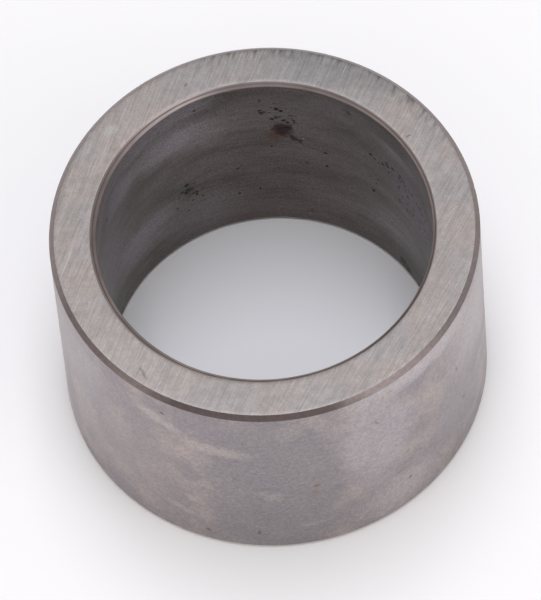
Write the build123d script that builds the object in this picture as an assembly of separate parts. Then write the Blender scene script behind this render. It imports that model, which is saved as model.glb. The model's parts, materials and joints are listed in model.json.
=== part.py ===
from build123d import *
import os

# Spacer sleeve: a short, thick-walled ring of steel that holds two bearings or hubs apart on a
# shaft. It is one turned part, ground on the bore, on the outside and on both end faces, so all
# four are true to each other. The edges are broken by 45 degree chamfers at both ends, and the
# chamfers in the bore meet its wall in a soft corner, so that the shaft enters without catching.
#
# Frame: millimetres, origin on the axis in the lower end face, +Z up along the axis.

# Driving dimensions
bore_diameter = 25.0  # ground bore, which slides over the shaft
wall_thickness = 3.5  # from the bore to the ground outside
sleeve_length = 20.0  # between the two ground end faces, the distance that the sleeve keeps
outside_chamfer = 0.35  # 45 degree edge break at both ends of the outside
bore_chamfer = 0.35  # 45 degree lead-in at both mouths of the bore
lead_in_round = 0.1  # soft corner where the lead-in meets the wall of the bore
edge_round = 0.05  # what deburring leaves on the other corners

# Worked out from them
outside_diameter = bore_diameter + 2 * wall_thickness
steel_density = 7.85e-6  # kilograms per cubic millimetre


def wall_section():
    """The wall cut through on one side of the axis, in the XZ plane."""
    wall_centre = (bore_diameter + wall_thickness) / 2
    with BuildSketch(Plane.XZ) as section:
        with Locations((wall_centre, sleeve_length / 2)):
            Rectangle(wall_thickness, sleeve_length)
        bore_corners, outside_corners = section.vertices().group_by(Axis.X)
        chamfer(bore_corners, bore_chamfer)
        chamfer(outside_corners, outside_chamfer)
        on_bore_wall = section.vertices().group_by(Axis.X)[0]
        fillet(section.vertices() - on_bore_wall, edge_round)
        on_bore_wall = section.vertices().group_by(Axis.X)[0]
        fillet(on_bore_wall, lead_in_round)
    return section.sketch


def turned_sleeve():
    """The whole sleeve: the wall section turned once round the axis."""
    with BuildPart() as turned:
        add(wall_section())
        revolve(axis=Axis.Z)
    return turned.part


os.makedirs("parts", exist_ok=True)
sleeve = turned_sleeve()
export_step(sleeve, "parts/sleeve.step")
print(
    f"sleeve {outside_diameter:g} x {bore_diameter:g} x {sleeve_length:g} mm, "
    f"{sleeve.volume:.0f} cubic mm, {sleeve.volume * steel_density:.4f} kg in steel"
)
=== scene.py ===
import json
import math

import bpy
from mathutils import Matrix, Vector


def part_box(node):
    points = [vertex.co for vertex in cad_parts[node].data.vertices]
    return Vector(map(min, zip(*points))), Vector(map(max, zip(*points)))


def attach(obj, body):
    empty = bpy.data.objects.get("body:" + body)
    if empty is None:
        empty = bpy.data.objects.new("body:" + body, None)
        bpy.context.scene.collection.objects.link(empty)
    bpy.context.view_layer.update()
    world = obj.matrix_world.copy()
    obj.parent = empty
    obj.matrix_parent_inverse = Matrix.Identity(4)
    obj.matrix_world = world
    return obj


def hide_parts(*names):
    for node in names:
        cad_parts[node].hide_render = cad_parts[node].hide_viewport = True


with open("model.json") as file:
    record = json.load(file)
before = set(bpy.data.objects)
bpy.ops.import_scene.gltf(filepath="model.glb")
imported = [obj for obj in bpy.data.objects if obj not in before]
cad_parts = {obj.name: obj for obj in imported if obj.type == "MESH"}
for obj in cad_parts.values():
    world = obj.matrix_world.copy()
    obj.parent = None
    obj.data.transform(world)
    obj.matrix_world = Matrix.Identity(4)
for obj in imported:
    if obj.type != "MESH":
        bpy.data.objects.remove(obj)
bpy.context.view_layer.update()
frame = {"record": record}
print("frame loaded")

mm = 0.001

# the sleeve's own sizes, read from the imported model
sleeveLow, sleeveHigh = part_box("sleeve")
boreMount = next(mount for mount in frame["record"]["mounts"] if mount["name"] == "bore")
outsideRadius = sleeveHigh.x
boreRadius = boreMount["dims"]["r_mm"] * mm
sleeveLength = sleeveHigh.z - sleeveLow.z


def linear(hexCode, alpha=1.0):
    # sRGB hex to the linear colour that Blender works in
    channels = [int(hexCode[i:i + 2], 16) / 255 for i in (1, 3, 5)]
    return [c / 12.92 if c <= 0.04045 else ((c + 0.055) / 1.055) ** 2.4 for c in channels] + [alpha]


def add(tree, kind, inputs=None, **settings):
    # adds a node with its settings; an input is a value, a socket, or a node that gives its first live output
    node = tree.nodes.new(kind)
    for name, value in settings.items():
        setattr(node, name, value)
    for key, value in (inputs or {}).items():
        live = [socket for socket in node.inputs if socket.enabled]
        socket = live[key] if isinstance(key, int) else next(s for s in live if s.name == key)
        if isinstance(value, bpy.types.Node):
            value = next(output for output in value.outputs if output.enabled)
        if isinstance(value, bpy.types.NodeSocket):
            tree.links.new(value, socket)
        else:
            socket.default_value = value
    return node


# the sleeve: a wall section with broken corners, carried once round the axis

sleeveShape = {
    "outsideChamfer": 0.35,  # mm
    "boreChamfer": 0.35,
    "leadInRound": 0.10,
    "edgeRound": 0.05,
    "stepsAround": 720,
    "sectionCuts": 6.0,  # more cuts on the long stretches of the section
    "cutPower": 0.46,  # how fast the cuts grow with a stretch's length
    "cutFrom": 0.1,  # mm, shorter stretches stay whole
    "crispAngle": 8,  # degrees, a sharper bend stays a crisp edge
    "leadInRunout": (-0.09, -0.02),  # mm, how far the upper lead-in was turned off centre
    "leadInOpen": 0.03,  # mm, wear: its upper corner lies this much further out
    "leadInRaise": 0.09,  # mm, and its lower corner this much higher
    "leadInFade": 1.0,  # mm, the wear has run out this far away on the face and on the wall
    "nickDepth": 0.03,  # mm
    "nickSize": 0.9,  # mm
    "nickReach": (0.35, 1.1),  # mm from a corner, where nicks are at their deepest and where they end
    "nickPeak": (0.64, 0.80),  # only these heights of the noise make a nick
    "seed": 7.0,
}

sleeveSockets = [
    ("Bore Radius", "NodeSocketFloat", boreRadius),
    ("Wall", "NodeSocketFloat", outsideRadius - boreRadius),
    ("Length", "NodeSocketFloat", sleeveLength),
    ("Outside Chamfer", "NodeSocketFloat", sleeveShape["outsideChamfer"] * mm),
    ("Bore Chamfer", "NodeSocketFloat", sleeveShape["boreChamfer"] * mm),
    ("Lead-in Round", "NodeSocketFloat", sleeveShape["leadInRound"] * mm),
    ("Edge Round", "NodeSocketFloat", sleeveShape["edgeRound"] * mm),
    ("Steps Around", "NodeSocketInt", sleeveShape["stepsAround"]),
    ("Section Cuts", "NodeSocketFloat", sleeveShape["sectionCuts"]),
    ("Runout", "NodeSocketVector", Vector((*sleeveShape["leadInRunout"], 0)) * mm),
    ("Lead-in Open", "NodeSocketFloat", sleeveShape["leadInOpen"] * mm),
    ("Lead-in Raise", "NodeSocketFloat", sleeveShape["leadInRaise"] * mm),
    ("Nick Depth", "NodeSocketFloat", sleeveShape["nickDepth"] * mm),
    ("Nick Size", "NodeSocketFloat", sleeveShape["nickSize"] * mm),
    ("Seed", "NodeSocketFloat", sleeveShape["seed"]),
]
zoneNames = ("Face", "Outside", "Bore", "Edge", "Lead-in")


def sleeveTree():
    tree = bpy.data.node_groups.new("turnedRing", "GeometryNodeTree")
    for name, kind, value in sleeveSockets:
        tree.interface.new_socket(name, in_out="INPUT", socket_type=kind)
    for name in zoneNames:
        tree.interface.new_socket(name, in_out="INPUT", socket_type="NodeSocketMaterial")
    tree.interface.new_socket("Mesh", in_out="OUTPUT", socket_type="NodeSocketGeometry")
    given = add(tree, "NodeGroupInput").outputs
    place = add(tree, "GeometryNodeInputPosition")

    # the wall's section stands in the XY plane, bore side to the left, and its corners are chamfered
    section = add(
        tree, "GeometryNodeCurvePrimitiveQuadrilateral",
        {"Width": given["Wall"], "Height": given["Length"]})
    sideways = add(tree, "ShaderNodeSeparateXYZ", {0: place}).outputs["X"]
    onBoreSide = add(tree, "FunctionNodeCompare", {0: sideways, 1: 0.0}, operation="LESS_THAN")
    chamferSize = add(
        tree, "GeometryNodeSwitch",
        {"Switch": onBoreSide, "False": given["Outside Chamfer"], "True": given["Bore Chamfer"]},
        input_type="FLOAT")
    chamfered = add(
        tree, "GeometryNodeFilletCurve",
        {"Curve": section, "Count": 1, "Radius": chamferSize, "Limit Radius": True}, mode="POLY")

    # the corner between chamfer and bore is turned soft, every other corner is only just broken
    wallHalf = add(tree, "ShaderNodeMath", {0: given["Wall"], 1: 0.5}, operation="MULTIPLY")
    fromBore = add(tree, "ShaderNodeMath", {0: sideways, 1: wallHalf}, operation="ADD")
    atBoreWall = add(tree, "FunctionNodeCompare", {0: fromBore, 1: 1e-6}, operation="LESS_THAN")
    roundSize = add(
        tree, "GeometryNodeSwitch",
        {"Switch": atBoreWall, "False": given["Edge Round"], "True": given["Lead-in Round"]},
        input_type="FLOAT")
    roundSteps = add(
        tree, "GeometryNodeSwitch", {"Switch": atBoreWall, "False": 3, "True": 8}, input_type="INT")
    rounded = add(
        tree, "GeometryNodeFilletCurve",
        {"Curve": chamfered, "Count": roundSteps, "Radius": roundSize, "Limit Radius": True}, mode="POLY")

    # longer stretches get more cuts, so that the quads stay even
    nextPoint = add(tree, "GeometryNodeOffsetPointInCurve", {"Offset": 1})
    nextPlace = add(
        tree, "GeometryNodeFieldAtIndex", {"Index": nextPoint.outputs["Point Index"], "Value": place},
        data_type="FLOAT_VECTOR", domain="POINT")
    stretch = add(tree, "ShaderNodeVectorMath", {0: place, 1: nextPlace}, operation="DISTANCE")
    inMm = add(tree, "ShaderNodeMath", {0: stretch, 1: 1 / mm}, operation="MULTIPLY")
    spread = add(tree, "ShaderNodeMath", {0: inMm, 1: sleeveShape["cutPower"]}, operation="POWER")
    cutsWanted = add(tree, "ShaderNodeMath", {0: spread, 1: given["Section Cuts"]}, operation="MULTIPLY")
    isLong = add(tree, "ShaderNodeMath", {0: inMm, 1: sleeveShape["cutFrom"]}, operation="GREATER_THAN")
    cuts = add(tree, "ShaderNodeMath", {0: cutsWanted, 1: isLong}, operation="MULTIPLY")
    cut = add(tree, "GeometryNodeSubdivideCurve", {"Curve": rounded, "Cuts": cuts})

    # carried once round the axis, and stood on its lower end face
    middleRadius = add(tree, "ShaderNodeMath", {0: given["Bore Radius"], 1: wallHalf}, operation="ADD")
    circle = add(
        tree, "GeometryNodeCurvePrimitiveCircle",
        {"Resolution": given["Steps Around"], "Radius": middleRadius})
    upright = add(tree, "GeometryNodeSetCurveNormal", {"Curve": circle}, mode="Z_UP")
    ring = add(tree, "GeometryNodeCurveToMesh", {"Curve": upright, "Profile Curve": cut})
    halfLength = add(tree, "ShaderNodeMath", {0: given["Length"], 1: 0.5}, operation="MULTIPLY")
    lift = add(tree, "ShaderNodeCombineXYZ", {"Z": halfLength})
    standing = add(tree, "GeometryNodeSetPosition", {"Geometry": ring, "Offset": lift})

    # corners stay crisp, walls and the soft part of the lead-in are smooth
    bend = add(tree, "GeometryNodeInputMeshEdgeAngle")
    gentle = add(
        tree, "FunctionNodeCompare", {0: bend, 1: math.radians(sleeveShape["crispAngle"])},
        operation="LESS_THAN")
    smooth = add(
        tree, "GeometryNodeSetShadeSmooth", {"Geometry": standing, "Shade Smooth": True}, domain="FACE")
    shaded = add(
        tree, "GeometryNodeSetShadeSmooth", {"Geometry": smooth, "Shade Smooth": gentle}, domain="EDGE")

    # which finish each quad has, told from how it faces and from its distance to the axis
    xyz = add(tree, "ShaderNodeSeparateXYZ", {0: place})
    flat = add(tree, "ShaderNodeCombineXYZ", {"X": xyz.outputs["X"], "Y": xyz.outputs["Y"]})
    radius = add(tree, "ShaderNodeVectorMath", {0: flat}, operation="LENGTH")
    facing = add(tree, "ShaderNodeSeparateXYZ", {0: add(tree, "GeometryNodeInputNormal")})
    tilt = add(tree, "ShaderNodeMath", {0: facing.outputs["Z"]}, operation="ABSOLUTE")
    isFlat = add(tree, "ShaderNodeMath", {0: tilt, 1: 0.99}, operation="GREATER_THAN")
    isWall = add(tree, "ShaderNodeMath", {0: tilt, 1: 0.01}, operation="LESS_THAN")
    isOuter = add(tree, "ShaderNodeMath", {0: radius, 1: middleRadius}, operation="GREATER_THAN")
    isInner = add(tree, "ShaderNodeMath", {0: 1.0, 1: isOuter}, operation="SUBTRACT")
    outsideWall = add(tree, "ShaderNodeMath", {0: isWall, 1: isOuter}, operation="MULTIPLY")
    boreWall = add(tree, "ShaderNodeMath", {0: isWall, 1: isInner}, operation="MULTIPLY")
    innerFace = add(tree, "ShaderNodeMath", {0: isFlat, 1: isInner}, operation="MULTIPLY")
    notWall = add(tree, "ShaderNodeMath", {0: isInner, 1: boreWall}, operation="SUBTRACT")
    leadIn = add(tree, "ShaderNodeMath", {0: notWall, 1: innerFace}, operation="SUBTRACT")
    kept = shaded
    for name, share in (("Face", isFlat), ("Outside", outsideWall), ("Bore", boreWall), ("Lead-in", leadIn)):
        kept = add(
            tree, "GeometryNodeStoreNamedAttribute",
            {"Geometry": kept, "Name": "on" + name, "Value": share},
            data_type="BOOLEAN", domain="FACE")

    # the upper lead-in is worn and a little off centre: its corners move, what lies beside them less
    fade = sleeveShape["leadInFade"] * mm
    leadInTop = add(
        tree, "ShaderNodeMath", {0: given["Bore Radius"], 1: given["Bore Chamfer"]}, operation="ADD")
    fromWall = add(
        tree, "ShaderNodeMapRange",
        {"Value": radius, "From Min": given["Bore Radius"], "From Max": leadInTop})
    kept = add(
        tree, "GeometryNodeStoreNamedAttribute",
        {"Geometry": kept, "Name": "leadInShare", "Value": fromWall},
        data_type="FLOAT", domain="POINT")
    keptShare = add(tree, "GeometryNodeInputNamedAttribute", {"Name": "leadInShare"}, data_type="FLOAT")
    faceEnd = add(tree, "ShaderNodeMath", {0: leadInTop, 1: fade}, operation="ADD")
    fromFace = add(
        tree, "ShaderNodeMapRange", {"Value": radius, "From Min": faceEnd, "From Max": leadInTop})
    share = add(tree, "ShaderNodeMath", {0: fromWall, 1: fromFace}, operation="MULTIPLY")
    isUpper = add(tree, "ShaderNodeMath", {0: xyz.outputs["Z"], 1: halfLength}, operation="GREATER_THAN")
    upperShare = add(tree, "ShaderNodeMath", {0: share, 1: isUpper}, operation="MULTIPLY")
    outwards = add(tree, "ShaderNodeVectorMath", {0: flat}, operation="NORMALIZE")
    opened = add(
        tree, "ShaderNodeVectorMath", {0: outwards, "Scale": given["Lead-in Open"]}, operation="SCALE")
    sidewaysMove = add(tree, "ShaderNodeVectorMath", {0: given["Runout"], 1: opened}, operation="ADD")
    slide = add(tree, "ShaderNodeVectorMath", {0: sidewaysMove, "Scale": upperShare}, operation="SCALE")
    offCentre = add(tree, "GeometryNodeSetPosition", {"Geometry": kept, "Offset": slide})
    leadInFoot = add(
        tree, "ShaderNodeMath", {0: given["Length"], 1: given["Bore Chamfer"]}, operation="SUBTRACT")
    wellBelow = add(tree, "ShaderNodeMath", {0: leadInFoot, 1: fade}, operation="SUBTRACT")
    upTheWall = add(
        tree, "ShaderNodeMapRange",
        {"Value": xyz.outputs["Z"], "From Min": wellBelow, "From Max": leadInFoot})
    towardsWall = add(tree, "ShaderNodeMath", {0: 1.0, 1: keptShare}, operation="SUBTRACT")
    raiseShare = add(tree, "ShaderNodeMath", {0: upTheWall, 1: towardsWall}, operation="MULTIPLY")
    raised = add(tree, "ShaderNodeMath", {0: raiseShare, 1: given["Lead-in Raise"]}, operation="MULTIPLY")
    rise = add(tree, "ShaderNodeCombineXYZ", {"Z": raised})
    worn = add(tree, "GeometryNodeSetPosition", {"Geometry": offCentre, "Offset": rise})

    # small knocks where noise peaks close to the outer corners
    outerRadius = add(tree, "ShaderNodeMath", {0: given["Bore Radius"], 1: given["Wall"]}, operation="ADD")
    inFromOutside = add(tree, "ShaderNodeMath", {0: outerRadius, 1: radius}, operation="SUBTRACT")
    fromMiddle = add(tree, "ShaderNodeMath", {0: xyz.outputs["Z"], 1: halfLength}, operation="SUBTRACT")
    awayFromMiddle = add(tree, "ShaderNodeMath", {0: fromMiddle}, operation="ABSOLUTE")
    fromEnd = add(tree, "ShaderNodeMath", {0: halfLength, 1: awayFromMiddle}, operation="SUBTRACT")
    cornerGap = add(tree, "ShaderNodeMath", {0: inFromOutside, 1: fromEnd}, operation="ADD")
    nickFull, nickEnd = sleeveShape["nickReach"]
    nearCorner = add(
        tree, "ShaderNodeMapRange",
        {"Value": cornerGap, "From Min": nickEnd * mm, "From Max": nickFull * mm},
        interpolation_type="SMOOTHSTEP")
    nickScale = add(tree, "ShaderNodeMath", {0: 1.0, 1: given["Nick Size"]}, operation="DIVIDE")
    nickNoise = add(
        tree, "ShaderNodeTexNoise",
        {"Vector": place, "W": given["Seed"], "Scale": nickScale, "Detail": 2.0},
        noise_dimensions="4D")
    peakFrom, peakTo = sleeveShape["nickPeak"]
    nickPeak = add(
        tree, "ShaderNodeMapRange", {"Value": nickNoise, "From Min": peakFrom, "From Max": peakTo})
    nick = add(tree, "ShaderNodeMath", {0: nickPeak, 1: nearCorner}, operation="MULTIPLY")
    depth = add(tree, "ShaderNodeMath", {0: nick, 1: given["Nick Depth"]}, operation="MULTIPLY")
    inwards = add(tree, "ShaderNodeMath", {0: depth, 1: -1.0}, operation="MULTIPLY")
    dent = add(
        tree, "ShaderNodeVectorMath",
        {0: add(tree, "GeometryNodeInputNormal"), "Scale": inwards}, operation="SCALE")
    knocked = add(tree, "GeometryNodeSetPosition", {"Geometry": worn, "Offset": dent})

    whole = add(tree, "GeometryNodeRealizeInstances", {"Geometry": knocked})
    finished = add(tree, "GeometryNodeSetMaterial", {"Geometry": whole, "Material": given["Edge"]})
    for name in ("Face", "Outside", "Bore", "Lead-in"):
        zone = add(tree, "GeometryNodeInputNamedAttribute", {"Name": "on" + name}, data_type="BOOLEAN")
        finished = add(
            tree, "GeometryNodeSetMaterial",
            {"Geometry": finished, "Selection": zone, "Material": given[name]})
    add(tree, "NodeGroupOutput", {"Mesh": finished})
    return tree


def buildSleeve(finishes):
    tree = sleeveTree()
    maker = bpy.data.objects.new("sleeveMaker", bpy.data.meshes.new("sleeveMaker"))
    bpy.context.scene.collection.objects.link(maker)
    modifier = maker.modifiers.new("turned ring", "NODES")
    modifier.node_group = tree
    identifiers = {item.name: item.identifier for item in tree.interface.items_tree if item.in_out == "INPUT"}
    for name, kind, value in sleeveSockets:
        modifier[identifiers[name]] = value
    for name in zoneNames:
        modifier[identifiers[name]] = finishes[name]
    graph = bpy.context.evaluated_depsgraph_get()
    mesh = bpy.data.meshes.new_from_object(maker.evaluated_get(graph), depsgraph=graph)
    mesh.name = "spacerSleeve"
    for name in ("Face", "Outside", "Bore", "Lead-in"):
        mesh.attributes.remove(mesh.attributes["on" + name])
    bpy.data.objects.remove(maker)
    piece = bpy.data.objects.new("spacerSleeve", mesh)
    bpy.context.scene.collection.objects.link(piece)
    return piece


# finishes: every pattern is measured in mm on the sleeve itself

def newMaterial(name):
    material = bpy.data.materials.new(name)
    material.use_nodes = True
    material.node_tree.nodes.clear()
    return material


def placeInMm(tree):
    place = add(tree, "ShaderNodeTexCoord").outputs["Object"]
    return add(tree, "ShaderNodeVectorMath", {0: place, "Scale": 1 / mm}, operation="SCALE")


def wandered(tree, place, size, reach):
    # the same place pushed about by noise, so that patches laid on it get loose or ragged edges
    noise = add(tree, "ShaderNodeTexNoise", {"Vector": place, "Scale": 1 / size, "Detail": 3.0})
    centred = add(
        tree, "ShaderNodeVectorMath", {0: noise.outputs["Color"], 1: (0.5, 0.5, 0.5)}, operation="SUBTRACT")
    push = add(tree, "ShaderNodeVectorMath", {0: centred, "Scale": reach * 2}, operation="SCALE")
    return add(tree, "ShaderNodeVectorMath", {0: place, 1: push}, operation="ADD")


def streaks(tree, place, spacing, stretch):
    # noise drawn out by stretch (x, y, z), and spacing mm apart where it is not
    drawn = add(tree, "ShaderNodeVectorMath", {0: place, 1: [1 / s for s in stretch]}, operation="MULTIPLY")
    return add(
        tree, "ShaderNodeTexNoise",
        {"Vector": drawn, "Scale": 1 / spacing, "Detail": 3.0, "Roughness": 0.6})


def patchShare(tree, place, patch, radius=None):
    # a soft oval: on a wall at (angle, height), or on the upper face at (angle, out) when no radius is given
    angle = math.radians(patch["angle"])
    lean = math.radians(patch.get("lean", 0))
    if radius:
        middle = (radius * math.cos(angle), radius * math.sin(angle), patch["height"])
        turn = (lean, 0, angle)
        half = (4.0, patch["wide"] / 2, patch["tall"] / 2)
    else:
        middle = (patch["out"] * math.cos(angle), patch["out"] * math.sin(angle), sleeveLength / mm)
        turn = (0, 0, lean)
        half = (patch["wide"] / 2, patch["tall"] / 2, 4.0)
    local = add(
        tree, "ShaderNodeMapping", {"Vector": place, "Location": middle, "Rotation": turn, "Scale": half},
        vector_type="TEXTURE")
    reach = add(tree, "ShaderNodeVectorMath", {0: local}, operation="LENGTH")
    return add(
        tree, "ShaderNodeMapRange",
        {"Value": reach, "From Min": 1.0, "From Max": patch.get("core", 0.2),
         "To Max": patch.get("share", 1.0)},
        interpolation_type="SMOOTHSTEP")


def layPatches(tree, colour, place, patches, radius=None):
    for patch in patches:
        share = patchShare(tree, place, patch, radius)
        colour = add(
            tree, "ShaderNodeMix",
            {"Factor": share, "A": colour, "B": linear(patch["colour"])}, data_type="RGBA")
    return colour


def dimmed(tree, colour, noise, swing):
    # the colour made lighter and darker by noise, by about a quarter of swing each way
    factor = add(tree, "ShaderNodeMath", {0: noise, 1: swing, 2: 1 - swing / 2}, operation="MULTIPLY_ADD")
    return add(tree, "ShaderNodeVectorMath", {0: colour, "Scale": factor}, operation="SCALE")


faceFinish = {
    "warm": "#8c847f",
    "cool": "#898482",
    "lay": 62.0,  # degrees, the way that the grinding lines run
    "fan": 160.0,  # mm, the lines meet this far away
    "lineSpacing": 0.14,  # mm
    "lineLength": 22.0,  # times the spacing
    "lineSwing": 0.9,
    "bandSpacing": 0.8,  # mm
    "bandSwing": 0.35,
    "stainSize": 4.0,  # mm
    "mottleSpacing": 0.6,  # mm
    "mottleSwing": 0.42,
    "grainSize": 0.12,  # mm, coarser than the real grain, which is too fine to show
    "grainSwing": 0.5,
    "scratchSpacing": 0.42,  # mm
    "scratchPeak": (0.67, 0.74),
    "scratchShare": 0.7,
    "scratchColour": "#a8a19d",
    "strokeSpacing": 0.3,  # mm
    "strokePeak": (0.47, 0.66),
    "strokeReach": (1.5, 0.5),  # mm inside the rim, where the strokes begin and where they are full
    "strokeColour": "#5d5a58",
    "lineDepth": 0.003,  # mm
    "roughness": 0.45,
}
faceClouds = [
    {"angle": 66, "out": 15.4, "wide": 24, "tall": 6, "lean": -24, "colour": "#716e6d", "share": 0.75},
    {"angle": 80, "out": 14.2, "wide": 26, "tall": 9, "lean": -10, "colour": "#7e7c7b", "share": 0.5},
    {"angle": 226, "out": 14.6, "wide": 14, "tall": 6, "lean": -44, "colour": "#928b85", "share": 0.5},
    {"angle": 137, "out": 14.6, "wide": 1.6, "tall": 1.0, "lean": 40, "colour": "#9a9996", "share": 0.6},
    {"angle": 31.6, "out": 13.3, "wide": 0.5, "tall": 0.3, "lean": 40,
     "core": 0.3, "colour": "#5f5a58", "share": 0.7},
    {"angle": 110, "out": 14.1, "wide": 0.5, "tall": 0.3, "lean": 60,
     "core": 0.3, "colour": "#5f5a58", "share": 0.7},
    {"angle": 0.8, "out": 14.1, "wide": 1.9, "tall": 0.1, "lean": 44,
     "core": 0.2, "colour": "#aaa4a1", "share": 0.6},
    {"angle": 228.6, "out": 14.8, "wide": 0.3, "tall": 1.3, "lean": 25,
     "core": 0.3, "colour": "#726a66", "share": 0.8},
]
faceRim = {"angle": 66, "out": 15.0, "wide": 30, "tall": 16, "lean": -24, "core": 0.6, "share": 1.0}


def groundFaceSteel():
    # surface-ground steel: fine straight lines all one way, soft stains, and strokes where the wheel left
    # the rim, so the face looks brushed rather than turned
    material = newMaterial("groundFaceSteel")
    tree = material.node_tree
    place = placeInMm(tree)
    eased = wandered(tree, place, 6.0, 0.25)
    turned = add(
        tree, "ShaderNodeMapping", {"Vector": eased, "Rotation": (0, 0, -math.radians(faceFinish["lay"]))})
    along = add(tree, "ShaderNodeSeparateXYZ", {0: turned})
    opening = add(
        tree, "ShaderNodeMath",
        {0: along.outputs["X"], 1: 1 / faceFinish["fan"], 2: 1.0}, operation="MULTIPLY_ADD")
    across = add(tree, "ShaderNodeMath", {0: along.outputs["Y"], 1: opening}, operation="DIVIDE")
    laid = add(tree, "ShaderNodeCombineXYZ", {"X": along.outputs["X"], "Y": across})
    lines = streaks(tree, laid, faceFinish["lineSpacing"], (faceFinish["lineLength"], 1, 1))
    bands = streaks(tree, laid, faceFinish["bandSpacing"], (8, 1, 1))
    stains = add(
        tree, "ShaderNodeTexNoise", {"Vector": place, "Scale": 1 / faceFinish["stainSize"], "Detail": 4.0})
    hue = add(tree, "ShaderNodeMapRange", {"Value": stains, "From Min": 0.38, "From Max": 0.62})
    steel = add(
        tree, "ShaderNodeMix",
        {"Factor": hue, "A": linear(faceFinish["warm"]), "B": linear(faceFinish["cool"])}, data_type="RGBA")
    clouded = layPatches(tree, steel, wandered(tree, place, 1.5, 0.5), faceClouds)
    mottle = add(
        tree, "ShaderNodeTexNoise",
        {"Vector": place, "Scale": 1 / faceFinish["mottleSpacing"], "Detail": 3.0})
    mottled = dimmed(tree, clouded, mottle, faceFinish["mottleSwing"])
    banded = dimmed(tree, mottled, bands, faceFinish["bandSwing"])
    lined = dimmed(tree, banded, lines, faceFinish["lineSwing"])
    grain = add(
        tree, "ShaderNodeTexNoise", {"Vector": place, "Scale": 1 / faceFinish["grainSize"], "Detail": 2.0})
    grainy = dimmed(tree, lined, grain, faceFinish["grainSwing"])

    # a few long scratches that catch the light, along the lay
    longLines = streaks(tree, laid, faceFinish["scratchSpacing"], (26, 1, 1))
    scratchFrom, scratchTo = faceFinish["scratchPeak"]
    scratch = add(
        tree, "ShaderNodeMapRange",
        {"Value": longLines, "From Min": scratchFrom, "From Max": scratchTo,
         "To Max": faceFinish["scratchShare"]})
    scratched = add(
        tree, "ShaderNodeMix",
        {"Factor": scratch, "A": grainy, "B": linear(faceFinish["scratchColour"])}, data_type="RGBA")

    # short dark strokes close inside the far rim
    flat = add(tree, "ShaderNodeVectorMath", {0: place, 1: (1, 1, 0)}, operation="MULTIPLY")
    out = add(tree, "ShaderNodeVectorMath", {0: flat}, operation="LENGTH")
    rim = outsideRadius / mm
    strokesBegin, strokesFull = faceFinish["strokeReach"]
    atRim = add(
        tree, "ShaderNodeMapRange",
        {"Value": out, "From Min": rim - strokesBegin, "From Max": rim - strokesFull})
    farSide = add(
        tree, "ShaderNodeMath", {0: atRim, 1: patchShare(tree, place, faceRim)}, operation="MULTIPLY")
    shortLines = streaks(tree, laid, faceFinish["strokeSpacing"], (5, 1, 1))
    strokeFrom, strokeTo = faceFinish["strokePeak"]
    stroke = add(
        tree, "ShaderNodeMapRange", {"Value": shortLines, "From Min": strokeFrom, "From Max": strokeTo})
    strokeShare = add(tree, "ShaderNodeMath", {0: stroke, 1: farSide}, operation="MULTIPLY")
    worn = add(
        tree, "ShaderNodeMix",
        {"Factor": strokeShare, "A": scratched, "B": linear(faceFinish["strokeColour"])}, data_type="RGBA")
    rough = add(
        tree, "ShaderNodeMath", {0: lines, 1: 0.12, 2: faceFinish["roughness"] - 0.06},
        operation="MULTIPLY_ADD")
    relief = add(
        tree, "ShaderNodeBump",
        {"Strength": 0.5, "Distance": faceFinish["lineDepth"] * mm, "Height": lines})
    metal = add(
        tree, "ShaderNodeBsdfPrincipled",
        {"Base Color": worn, "Metallic": 1.0, "Roughness": rough, "Normal": relief})
    add(tree, "ShaderNodeOutputMaterial", {"Surface": metal})
    return material


outsideFinish = {
    "body": "#958d90",
    "smudge": "#aba09c",
    "smudgeSize": 3.2,  # mm
    "mottle": 0.32,  # mm
    "mottleSwing": 0.8,
    "grainSize": 0.11,  # mm, coarser than the real grain, which is too fine to show
    "grainSwing": 0.6,
    "scratchSpacing": 0.16,  # mm
    "scratchSwing": 0.1,
    "scratchDepth": 0.003,  # mm
    "roughness": 0.42,
}
outsideStainsAndSheen = [
    # partly stains, partly painted light: the darker patch in front (266) is partly painted shade for the
    # shaded floor it mirrors, the lighter band at 296 is partly a painted highlight, and the lighter patches
    # at 200, 338 and low at 302 are painted highlights standing in for floor and side light
    {"angle": 266, "height": 9.5, "wide": 12.0, "tall": 26, "core": 0.7, "colour": "#8c888b", "share": 0.7},
    {"angle": 226, "height": 8.0, "wide": 13, "tall": 22, "core": 0.2, "colour": "#9f9595", "share": 0.6},
    {"angle": 296, "height": 13.0, "wide": 8.5, "tall": 18, "core": 0.4, "colour": "#aea6a9", "share": 0.8},
    {"angle": 322, "height": 7.0, "wide": 8, "tall": 9, "core": 0.2, "colour": "#979194", "share": 0.7},
    {"angle": 312, "height": 19.0, "wide": 19, "tall": 4.0, "core": 0.3, "colour": "#b9b1b2", "share": 0.9},
    {"angle": 302, "height": 3.0, "wide": 10, "tall": 8.0, "core": 0.2, "colour": "#b3abad", "share": 0.8},
    {"angle": 200, "height": 15.0, "wide": 12, "tall": 14, "core": 0.3, "colour": "#aaa3a4", "share": 0.7},
    {"angle": 338, "height": 15.0, "wide": 12, "tall": 14, "core": 0.2, "colour": "#b3abab", "share": 0.8},
]
outsideSmudges = [
    {"angle": 235, "height": 16.6, "wide": 6.5, "tall": 2.0, "lean": -22,
     "colour": "#b4aaa6", "share": 0.8},
    {"angle": 250, "height": 14.6, "wide": 9.0, "tall": 2.4, "lean": -8,
     "colour": "#b2a8a3", "share": 0.75},
    {"angle": 265, "height": 8.0, "wide": 2.6, "tall": 2.0, "lean": -30, "colour": "#a79e9c", "share": 0.7},
    {"angle": 239, "height": 3.8, "wide": 3.6, "tall": 1.0, "lean": -15, "colour": "#ada4a2", "share": 0.6},
    {"angle": 276, "height": 3.2, "wide": 4.0, "tall": 1.0, "colour": "#a49c9c", "share": 0.6},
    {"angle": 271, "height": 17.5, "wide": 3.4, "tall": 3.6, "colour": "#a29a98", "share": 0.6},
]
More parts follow.
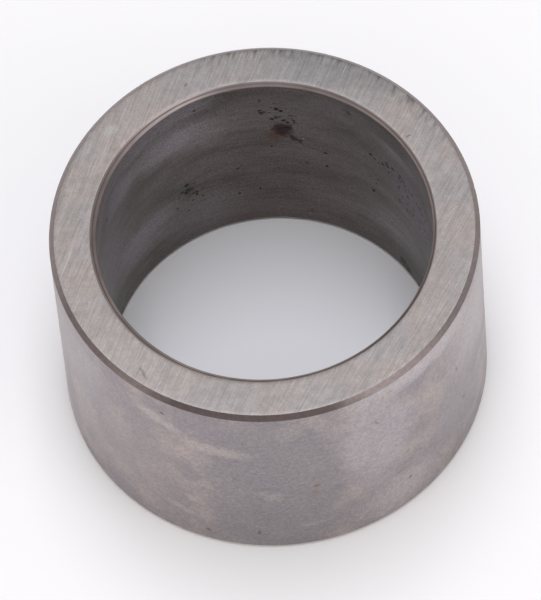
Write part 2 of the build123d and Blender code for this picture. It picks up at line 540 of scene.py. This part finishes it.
outsideSpecks = [
    {"angle": 277.7, "height": 9.0, "wide": 0.8, "tall": 0.6, "colour": "#8a6a52", "share": 0.9},
    {"angle": 329.0, "height": 6.7, "wide": 0.5, "tall": 0.9, "lean": 20,
     "colour": "#8a6347", "share": 0.9},
    {"angle": 261.0, "height": 2.4, "wide": 0.4, "tall": 0.9, "lean": -15,
     "colour": "#6f5548", "share": 0.85},
    {"angle": 247.0, "height": 1.6, "wide": 0.6, "tall": 0.5, "colour": "#74564c", "share": 0.8},
    {"angle": 300.0, "height": 18.6, "wide": 0.7, "tall": 0.5, "colour": "#a8946a", "share": 0.85},
    {"angle": 305.0, "height": 8.0, "wide": 0.4, "tall": 0.8, "lean": -20,
     "colour": "#8a8a78", "share": 0.8},
    {"angle": 305.0, "height": 3.9, "wide": 0.6, "tall": 0.6, "colour": "#6a635c", "share": 0.85},
    {"angle": 326.0, "height": 12.3, "wide": 0.4, "tall": 1.2, "lean": 20,
     "colour": "#76717c", "share": 0.8},
    {"angle": 295.5, "height": 15.2, "wide": 0.3, "tall": 1.2, "lean": 25,
     "colour": "#857770", "share": 0.8},
    {"angle": 236.8, "height": 17.8, "wide": 0.5, "tall": 0.5, "colour": "#6f5a54", "share": 0.9},
    {"angle": 302.0, "height": 5.7, "wide": 3.2, "tall": 0.35, "lean": 6,
     "colour": "#8a8484", "share": 0.7},
    {"angle": 256.0, "height": 10.6, "wide": 1.3, "tall": 0.3, "lean": -30,
     "colour": "#7a716c", "share": 0.6},
]


def groundOutsideSteel():
    # ground steel that has been handled and stored: grey with beige smudges, a few scratches and rust specks,
    # and patches that are partly stains, partly painted shade and highlights
    material = newMaterial("groundOutsideSteel")
    tree = material.node_tree
    place = placeInMm(tree)
    radius = outsideRadius / mm
    loose = wandered(tree, place, 2.2, 1.3)
    frayed = wandered(tree, place, 0.8, 0.7)
    ragged = wandered(tree, place, 0.3, 0.22)
    smudges = add(
        tree, "ShaderNodeTexNoise",
        {"Vector": frayed, "Scale": 1 / outsideFinish["smudgeSize"], "Detail": 6.0, "Roughness": 0.6})
    smudged = add(tree, "ShaderNodeMapRange", {"Value": smudges, "From Min": 0.44, "From Max": 0.66})
    steel = add(
        tree, "ShaderNodeMix",
        {"Factor": smudged, "A": linear(outsideFinish["body"]), "B": linear(outsideFinish["smudge"])},
        data_type="RGBA")
    # these patches carry painted shade and painted highlights as well as stains
    clouded = layPatches(tree, steel, loose, outsideStainsAndSheen, radius)
    wiped = layPatches(tree, clouded, frayed, outsideSmudges, radius)
    mottle = add(
        tree, "ShaderNodeTexNoise",
        {"Vector": place, "Scale": 1 / outsideFinish["mottle"], "Detail": 4.0, "Roughness": 0.6})
    mottled = dimmed(tree, wiped, mottle, outsideFinish["mottleSwing"])
    grain = add(
        tree, "ShaderNodeTexNoise",
        {"Vector": place, "Scale": 1 / outsideFinish["grainSize"], "Detail": 1.0})
    grainy = dimmed(tree, mottled, grain, outsideFinish["grainSwing"])
    scratches = streaks(tree, place, outsideFinish["scratchSpacing"], (14, 14, 1))
    scratched = dimmed(tree, grainy, scratches, outsideFinish["scratchSwing"])
    specked = layPatches(tree, scratched, ragged, outsideSpecks, radius)
    rough = add(
        tree, "ShaderNodeMath",
        {0: mottle, 1: 0.16, 2: outsideFinish["roughness"] - 0.08}, operation="MULTIPLY_ADD")
    relief = add(
        tree, "ShaderNodeBump",
        {"Strength": 0.2, "Distance": outsideFinish["scratchDepth"] * mm, "Height": scratches})
    metal = add(
        tree, "ShaderNodeBsdfPrincipled",
        {"Base Color": specked, "Metallic": 1.0, "Roughness": rough, "Normal": relief})
    add(tree, "ShaderNodeOutputMaterial", {"Surface": metal})
    return material


boreFinish = {
    "dark": "#57504a",
    "light": "#6e6662",
    "cloudSpacing": 3.0,  # mm
    "bandSpacing": 0.7,  # mm
    "bandSwing": 0.45,
    "streakSpacing": 0.18,  # mm, coarser than the real honing marks, which are too fine to show
    "streakSwing": 0.6,
    "streakDepth": 0.003,  # mm
    "grainSize": 0.12,  # mm, coarser than the real grain too
    "grainSwing": 1.7,
    "pitSpacing": 0.40,  # mm
    "pitSize": (0.28, 0.54),  # of the spacing, the smallest and the largest
    "pitDepth": 0.03,  # mm
    "pitColour": "#1f1c1b",
    "strayPits": 0.006,  # the share of dots that are pits outside the patches
    "roughness": 0.42,
}
boreClouds = [
    {"angle": 119, "height": 15.6, "wide": 14.0, "tall": 6.5, "lean": 8,
     "core": 0.0, "colour": "#9c9496", "share": 0.9},
    {"angle": 148, "height": 16.0, "wide": 8, "tall": 5, "lean": 14, "colour": "#8d8589", "share": 0.9},
    {"angle": 138, "height": 6.0, "wide": 11, "tall": 7, "lean": 10, "colour": "#847d7f", "share": 0.9},
    {"angle": 34, "height": 5.5, "wide": 10, "tall": 8, "colour": "#7d7677", "share": 0.8},
    {"angle": 22, "height": 13.0, "wide": 13, "tall": 12, "core": 0.3, "colour": "#736a6e", "share": 0.8},
    {"angle": 165, "height": 11.0, "wide": 12, "tall": 20, "core": 0.3, "colour": "#786f72", "share": 0.75},
    {"angle": 138, "height": 19.2, "wide": 26, "tall": 4.0, "core": 0.5, "colour": "#8a8284", "share": 0.9},
    {"angle": 178, "height": 18.6, "wide": 12, "tall": 7.0, "core": 0.4, "colour": "#8d8587", "share": 0.9},
    {"angle": 4, "height": 18.6, "wide": 15, "tall": 7.0, "core": 0.4, "colour": "#8a8283", "share": 0.9},
    {"angle": 88, "height": 16.5, "wide": 14, "tall": 6.0, "core": 0.3, "colour": "#716967", "share": 0.7},
    {"angle": 58, "height": 18.2, "wide": 12, "tall": 5, "core": 0.2, "colour": "#756d6c", "share": 0.7},
    {"angle": 112, "height": 3.5, "wide": 10, "tall": 7, "core": 0.2, "colour": "#766f70", "share": 0.8},
    {"angle": 34, "height": 16.8, "wide": 8, "tall": 3, "colour": "#857c7e", "share": 0.9},
]
boreSpecksAndGlint = [
    {"angle": 83.0, "height": 12.7, "wide": 2.6, "tall": 2.2,
     "core": 0.0, "colour": "#5a4038", "share": 0.9},
    {"angle": 80.2, "height": 13.6, "wide": 2.1, "tall": 2.5,
     "core": 0.45, "colour": "#301c18", "share": 0.97},
    {"angle": 76.4, "height": 12.3, "wide": 2.5, "tall": 0.6, "lean": 46,
     "core": 0.3, "colour": "#352321", "share": 0.95},
    {"angle": 69.5, "height": 11.3, "wide": 3.0, "tall": 0.2, "lean": 12,
     "core": 0.3, "colour": "#393031", "share": 0.8},
    # a painted glint: a small bright dot beside the rust blot
    {"angle": 73.2, "height": 12.5, "wide": 0.2, "tall": 0.25,
     "core": 0.5, "colour": "#c8c4c4", "share": 0.9},
    {"angle": 82.2, "height": 15.4, "wide": 0.8, "tall": 0.55, "colour": "#2f2726", "share": 0.9},
    {"angle": 76.8, "height": 15.9, "wide": 0.8, "tall": 0.5, "lean": 25,
     "colour": "#3f2826", "share": 0.9},
    {"angle": 86.4, "height": 16.0, "wide": 0.7, "tall": 0.5, "colour": "#4b352f", "share": 0.8},
    {"angle": 87.8, "height": 17.7, "wide": 0.35, "tall": 0.5, "colour": "#2a2423", "share": 0.9},
    {"angle": 72.8, "height": 9.0, "wide": 0.5, "tall": 0.8, "colour": "#40322f", "share": 0.8},
    {"angle": 125.4, "height": 18.2, "wide": 0.35, "tall": 0.45, "colour": "#3a2d2c", "share": 0.9},
    {"angle": 56.0, "height": 18.4, "wide": 0.9, "tall": 0.7, "colour": "#55403a", "share": 0.8},
    {"angle": 72.6, "height": 1.7, "wide": 1.2, "tall": 0.6, "colour": "#4a3531", "share": 0.7},
    {"angle": 34.0, "height": 1.4, "wide": 0.9, "tall": 1.3,
     "core": 0.4, "colour": "#262120", "share": 0.95},
    {"angle": 31.0, "height": 0.9, "wide": 1.2, "tall": 1.0,
     "core": 0.4, "colour": "#2a2422", "share": 0.9},
    {"angle": 27.0, "height": 10.7, "wide": 0.45, "tall": 0.7,
     "core": 0.4, "colour": "#211b1b", "share": 0.95},
    {"angle": 13.8, "height": 12.0, "wide": 0.45, "tall": 0.6,
     "core": 0.4, "colour": "#241e1e", "share": 0.9},
    {"angle": 115.8, "height": 7.5, "wide": 1.5, "tall": 2.6,
     "core": 0.0, "colour": "#353730", "share": 0.75},
    {"angle": 116.0, "height": 7.6, "wide": 0.4, "tall": 0.6,
     "core": 0.3, "colour": "#171a15", "share": 0.95},
]
borePitting = [
    {"angle": 84, "height": 16.2, "wide": 4.0, "tall": 3.4, "core": 0.3, "share": 0.5},
    {"angle": 79, "height": 14.6, "wide": 3.2, "tall": 2.4, "core": 0.3, "share": 0.8},
    {"angle": 36, "height": 13.9, "wide": 6.0, "tall": 1.6, "core": 0.6, "share": 0.9},
    {"angle": 30, "height": 12.0, "wide": 5.0, "tall": 5.4, "core": 0.3, "share": 0.7},
    {"angle": 15, "height": 12.6, "wide": 4.4, "tall": 8.0, "core": 0.4, "share": 0.7},
    {"angle": 46, "height": 9.6, "wide": 1.8, "tall": 3.4, "core": 0.4, "share": 0.6},
    {"angle": 116, "height": 7.4, "wide": 2.2, "tall": 3.8, "core": 0.5, "share": 1.0},
    {"angle": 118, "height": 6.5, "wide": 7.0, "tall": 7.0, "core": 0.2, "share": 0.14},
]


def honedBoreSteel():
    # honed steel gone dull: dark, with fine streaks round the bore, clusters of black pits, one rust blot and
    # a painted glint beside it
    material = newMaterial("honedBoreSteel")
    tree = material.node_tree
    place = placeInMm(tree)
    radius = boreRadius / mm
    loose = wandered(tree, place, 2.5, 0.9)
    ragged = wandered(tree, place, 0.5, 0.6)
    clouds = streaks(tree, place, boreFinish["cloudSpacing"], (3, 3, 1))
    hue = add(tree, "ShaderNodeMapRange", {"Value": clouds, "From Min": 0.35, "From Max": 0.65})
    steel = add(
        tree, "ShaderNodeMix",
        {"Factor": hue, "A": linear(boreFinish["dark"]), "B": linear(boreFinish["light"])}, data_type="RGBA")
    clouded = layPatches(tree, steel, loose, boreClouds, radius)
    bands = streaks(tree, loose, boreFinish["bandSpacing"], (9, 9, 1))
    banded = dimmed(tree, clouded, bands, boreFinish["bandSwing"])
    fine = streaks(tree, place, boreFinish["streakSpacing"], (16, 16, 1))
    streaked = dimmed(tree, banded, fine, boreFinish["streakSwing"])
    grain = add(
        tree, "ShaderNodeTexNoise", {"Vector": place, "Scale": 1 / boreFinish["grainSize"], "Detail": 2.0})
    grainy = dimmed(tree, streaked, grain, boreFinish["grainSwing"])

    # pits: dots scattered thinly, and thickly only inside the pitted patches
    density = boreFinish["strayPits"]
    for patch in borePitting:
        density = add(
            tree, "ShaderNodeMath",
            {0: density, 1: patchShare(tree, place, patch, radius)}, operation="MAXIMUM")
    cells = add(
        tree, "ShaderNodeTexVoronoi",
        {"Vector": wandered(tree, place, 0.3, 0.12), "Scale": 1 / boreFinish["pitSpacing"]})
    chance = add(tree, "ShaderNodeSeparateColor", {0: cells.outputs["Color"]})
    chosen = add(tree, "ShaderNodeMath", {0: chance.outputs["Red"], 1: density}, operation="LESS_THAN")
    smallest, largest = boreFinish["pitSize"]
    dotSize = add(
        tree, "ShaderNodeMath", {0: chance.outputs["Green"], 1: largest - smallest, 2: smallest},
        operation="MULTIPLY_ADD")
    inDot = add(tree, "ShaderNodeMath", {0: dotSize, 1: cells.outputs["Distance"]}, operation="SUBTRACT")
    dot = add(tree, "ShaderNodeMapRange", {"Value": inDot, "From Min": 0.0, "From Max": 0.12})
    pit = add(tree, "ShaderNodeMath", {0: dot, 1: chosen}, operation="MULTIPLY")
    pitted = add(
        tree, "ShaderNodeMix",
        {"Factor": pit, "A": grainy, "B": linear(boreFinish["pitColour"])}, data_type="RGBA")
    specked = layPatches(tree, pitted, ragged, boreSpecksAndGlint, radius)
    relief = add(
        tree, "ShaderNodeBump",
        {"Strength": 0.5, "Distance": boreFinish["streakDepth"] * mm, "Height": fine})
    hollow = add(
        tree, "ShaderNodeBump",
        {"Strength": 0.8, "Distance": boreFinish["pitDepth"] * mm, "Height": pit, "Normal": relief},
        invert=True)
    metal = add(
        tree, "ShaderNodeBsdfPrincipled",
        {"Base Color": specked, "Metallic": 1.0, "Roughness": boreFinish["roughness"], "Normal": hollow})
    add(tree, "ShaderNodeOutputMaterial", {"Surface": metal})
    return material


edgeFinish = {
    "dark": "#827878",
    "light": "#9a9090",
    "markSpacing": 0.5,  # mm
    "wearSpacing": 0.3,  # mm
    "wearSwing": 0.6,
    "roughness": 0.42,
}
edgeShadeAndStains = [
    # the dark patches in front (262) and at the front left (206) are painted shade: the dark room on the
    # viewer's side that the chamfer mirrors there
    {"angle": 262, "height": 19.8, "wide": 26, "tall": 3, "core": 0.5, "colour": "#5a5151", "share": 0.9},
    {"angle": 318, "height": 19.8, "wide": 18, "tall": 3, "core": 0.4, "colour": "#857c7e", "share": 0.7},
    {"angle": 206, "height": 19.8, "wide": 12, "tall": 3, "core": 0.2, "colour": "#736869", "share": 0.6},
]


def turnedEdgeSteel():
    # chamfers left from the lathe: darker than the ground faces, brownish, with painted shade in front and at
    # the front left where they mirror the dark room, and with marks round the ring, so both ends read as
    # outlined
    material = newMaterial("turnedEdgeSteel")
    tree = material.node_tree
    place = placeInMm(tree)
    marks = streaks(tree, place, edgeFinish["markSpacing"], (8, 8, 1))
    steel = add(
        tree, "ShaderNodeMix",
        {"Factor": marks, "A": linear(edgeFinish["dark"]), "B": linear(edgeFinish["light"])},
        data_type="RGBA")
    clouded = layPatches(tree, steel, wandered(tree, place, 2.0, 1.0), edgeShadeAndStains, outsideRadius / mm)
    wear = streaks(tree, place, edgeFinish["wearSpacing"], (1, 1, 1))
    worn = dimmed(tree, clouded, wear, edgeFinish["wearSwing"])
    metal = add(
        tree, "ShaderNodeBsdfPrincipled",
        {"Base Color": worn, "Metallic": 1.0, "Roughness": edgeFinish["roughness"]})
    add(tree, "ShaderNodeOutputMaterial", {"Surface": metal})
    return material


leadInFinish = {
    "rubbed": "#9c9291",
    "crease": "#6f6666",
    "creaseAt": 0.60,  # of the way from the bore up to the face
    "creaseHalf": 0.16,
    "creaseCore": 0.05,
    "footAt": (0.24, 0.04),  # of the way up, where the darkening beside the bore begins and where it is full
    "markSpacing": 0.35,  # mm
    "markSwing": 0.7,
    "roughness": 0.5,
}
# darker beside the bore, at the back
leadInFoot = {"angle": 92, "height": 19.8, "wide": 18, "tall": 3, "core": 0.5, "share": 0.9}
leadInClouds = [
    {"angle": 168, "height": 19.8, "wide": 16, "tall": 3, "core": 0.4, "colour": "#837978", "share": 0.8},
    {"angle": 5, "height": 19.8, "wide": 10, "tall": 3, "core": 0.2, "colour": "#a59b9a", "share": 0.8},
    {"angle": 86, "height": 19.8, "wide": 27, "tall": 3, "core": 0.5, "colour": "#7b7272", "share": 0.85},
    {"angle": 118, "height": 19.8, "wide": 9, "tall": 3, "core": 0.2, "colour": "#b5abaa", "share": 0.8},
    {"angle": 265, "height": 19.8, "wide": 26, "tall": 3, "core": 0.5, "colour": "#b9aeaa", "share": 0.9},
]


def rubbedLeadInSteel():
    # where the shaft slides in: rubbed bright next to the bore, with a dark line half way up and darker
    # beside the bore at the back
    material = newMaterial("rubbedLeadInSteel")
    tree = material.node_tree
    place = placeInMm(tree)
    rubbed = layPatches(tree, linear(leadInFinish["rubbed"]), place, leadInClouds, boreRadius / mm)
    across = add(tree, "ShaderNodeAttribute", attribute_name="leadInShare").outputs["Fac"]
    fromCrease = add(tree, "ShaderNodeMath", {0: across, 1: leadInFinish["creaseAt"]}, operation="SUBTRACT")
    creaseGap = add(tree, "ShaderNodeMath", {0: fromCrease}, operation="ABSOLUTE")
    crease = add(
        tree, "ShaderNodeMapRange",
        {"Value": creaseGap, "From Min": leadInFinish["creaseHalf"], "From Max": leadInFinish["creaseCore"]},
        interpolation_type="SMOOTHSTEP")
    footBegins, footFull = leadInFinish["footAt"]
    low = add(
        tree, "ShaderNodeMapRange", {"Value": across, "From Min": footBegins, "From Max": footFull},
        interpolation_type="SMOOTHSTEP")
    footShare = patchShare(tree, place, leadInFoot, boreRadius / mm)
    foot = add(tree, "ShaderNodeMath", {0: low, 1: footShare}, operation="MULTIPLY")
    darkShare = add(tree, "ShaderNodeMath", {0: crease, 1: foot}, operation="MAXIMUM")
    steel = add(
        tree, "ShaderNodeMix",
        {"Factor": darkShare, "A": rubbed, "B": linear(leadInFinish["crease"])}, data_type="RGBA")
    marks = streaks(tree, place, leadInFinish["markSpacing"], (5, 5, 1))
    marked = dimmed(tree, steel, marks, leadInFinish["markSwing"])
    metal = add(
        tree, "ShaderNodeBsdfPrincipled",
        {"Base Color": marked, "Metallic": 1.0, "Roughness": leadInFinish["roughness"]})
    add(tree, "ShaderNodeOutputMaterial", {"Surface": metal})
    return material


finishes = {
    "Face": groundFaceSteel(),
    "Outside": groundOutsideSteel(),
    "Bore": honedBoreSteel(),
    "Edge": turnedEdgeSteel(),
    "Lead-in": rubbedLeadInSteel(),
}
sleeve = buildSleeve(finishes)
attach(sleeve, "root")
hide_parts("sleeve")
print("sleeve:", len(sleeve.data.polygons), "faces")


# the pale sheet that it stands on

sheet = {"across": 4.0, "colour": "#f8f8fa"}  # metres


def paleSheet():
    # matt white paper: almost no gloss, so that only the soft shadow shows on it
    mesh = bpy.data.meshes.new("paleSheet")
    half = sheet["across"] / 2
    corners = [(-half, -half, 0), (half, -half, 0), (half, half, 0), (-half, half, 0)]
    mesh.from_pydata(corners, [], [(0, 1, 2, 3)])
    material = newMaterial("whitePaper")
    tree = material.node_tree
    paper = add(
        tree, "ShaderNodeBsdfPrincipled",
        {"Base Color": linear(sheet["colour"]), "Roughness": 0.9, "Specular IOR Level": 0.1})
    add(tree, "ShaderNodeOutputMaterial", {"Surface": paper})
    mesh.materials.append(material)
    floor = bpy.data.objects.new("paleSheet", mesh)
    bpy.context.scene.collection.objects.link(floor)
    return floor


paleSheet()


# light: a pale room, one soft box overhead and a weaker one low on the right

light = {
    "zenith": 0.40,
    "horizon": 0.69,
    "fillSide": (0.0, -0.90, 0.44),  # a pale wall behind the viewer throws light back from here
    "fillShare": 1.9,
    "fillEdge": (0.3, 0.9),  # where that wall begins and where it is at its palest
    "skyColour": "#fffaf4",
    "boxes": [
        {"name": "softBox", "place": (0.0, 0.12, 1.30), "across": 0.5, "deep": 1.1,
         "watts": 9.6, "colour": "#f3f6ff"},
        {"name": "windowBox", "place": (0.85, -0.64, 0.50), "across": 0.6, "deep": 0.6,
         "watts": 1.25, "colour": "#fffaf6"},
    ],
}


def lightRoom():
    world = bpy.data.worlds.new("paleRoom")
    bpy.context.scene.world = world
    world.use_nodes = True
    tree = world.node_tree
    tree.nodes.clear()
    direction = add(tree, "ShaderNodeTexCoord").outputs["Generated"]
    parts = add(tree, "ShaderNodeSeparateXYZ", {0: direction})
    height = add(
        tree, "ShaderNodeMapRange",
        {"Value": parts.outputs["Z"], "From Max": 0.9, "To Min": light["horizon"], "To Max": light["zenith"]},
        interpolation_type="SMOOTHSTEP")
    nearness = add(
        tree, "ShaderNodeVectorMath", {0: direction, 1: light["fillSide"]}, operation="DOT_PRODUCT")
    begins, palest = light["fillEdge"]
    fill = add(
        tree, "ShaderNodeMapRange",
        {"Value": nearness, "From Min": begins, "From Max": palest, "To Min": 1.0,
         "To Max": light["fillShare"]},
        interpolation_type="SMOOTHSTEP")
    level = add(tree, "ShaderNodeMath", {0: height, 1: fill}, operation="MULTIPLY")
    sky = add(tree, "ShaderNodeBackground", {"Color": linear(light["skyColour"]), "Strength": level})
    add(tree, "ShaderNodeOutputWorld", {"Surface": sky})
    for box in light["boxes"]:
        lamp = bpy.data.lights.new(box["name"], "AREA")
        lamp.shape = "RECTANGLE"
        lamp.size = box["across"]
        lamp.size_y = box["deep"]
        lamp.energy = box["watts"]
        lamp.color = linear(box["colour"])[:3]
        holder = bpy.data.objects.new(box["name"], lamp)
        holder.location = box["place"]
        holder.rotation_euler = (-holder.location).to_track_quat("-Z", "Y").to_euler()
        bpy.context.scene.collection.objects.link(holder)


lightRoom()


# camera

cameraView = {
    "elevation": 60.345,  # degrees above the sheet, looking along +Y
    "roll": 5.39,  # degrees
    "distance": 40.4,  # outside radii from the middle of the sleeve
    "aimBelow": 0.25,  # mm under the middle, as the camera sees it
    "lens": 516.7,  # mm on a 36 mm frame
}


def placeCamera():
    lens = bpy.data.cameras.new("camera")
    lens.lens = cameraView["lens"]
    lens.clip_end = 20
    elevation = math.radians(cameraView["elevation"])
    back = Vector((0, -math.cos(elevation), math.sin(elevation)))
    lean = Matrix.Rotation(math.radians(cameraView["roll"]), 3, -back)
    right = lean @ Vector((1, 0, 0))
    up = lean @ back.cross(Vector((1, 0, 0)))
    middle = Vector((0, 0, sleeveLength / 2)) - up * cameraView["aimBelow"] * mm
    turn = Matrix((right, up, back)).transposed().to_4x4()
    camera = bpy.data.objects.new("camera", lens)
    camera.matrix_world = Matrix.Translation(middle + back * cameraView["distance"] * outsideRadius) @ turn
    bpy.context.scene.collection.objects.link(camera)
    bpy.context.scene.camera = camera


placeCamera()
bpy.context.scene.view_settings.view_transform = "Standard"
print("light and camera placed")
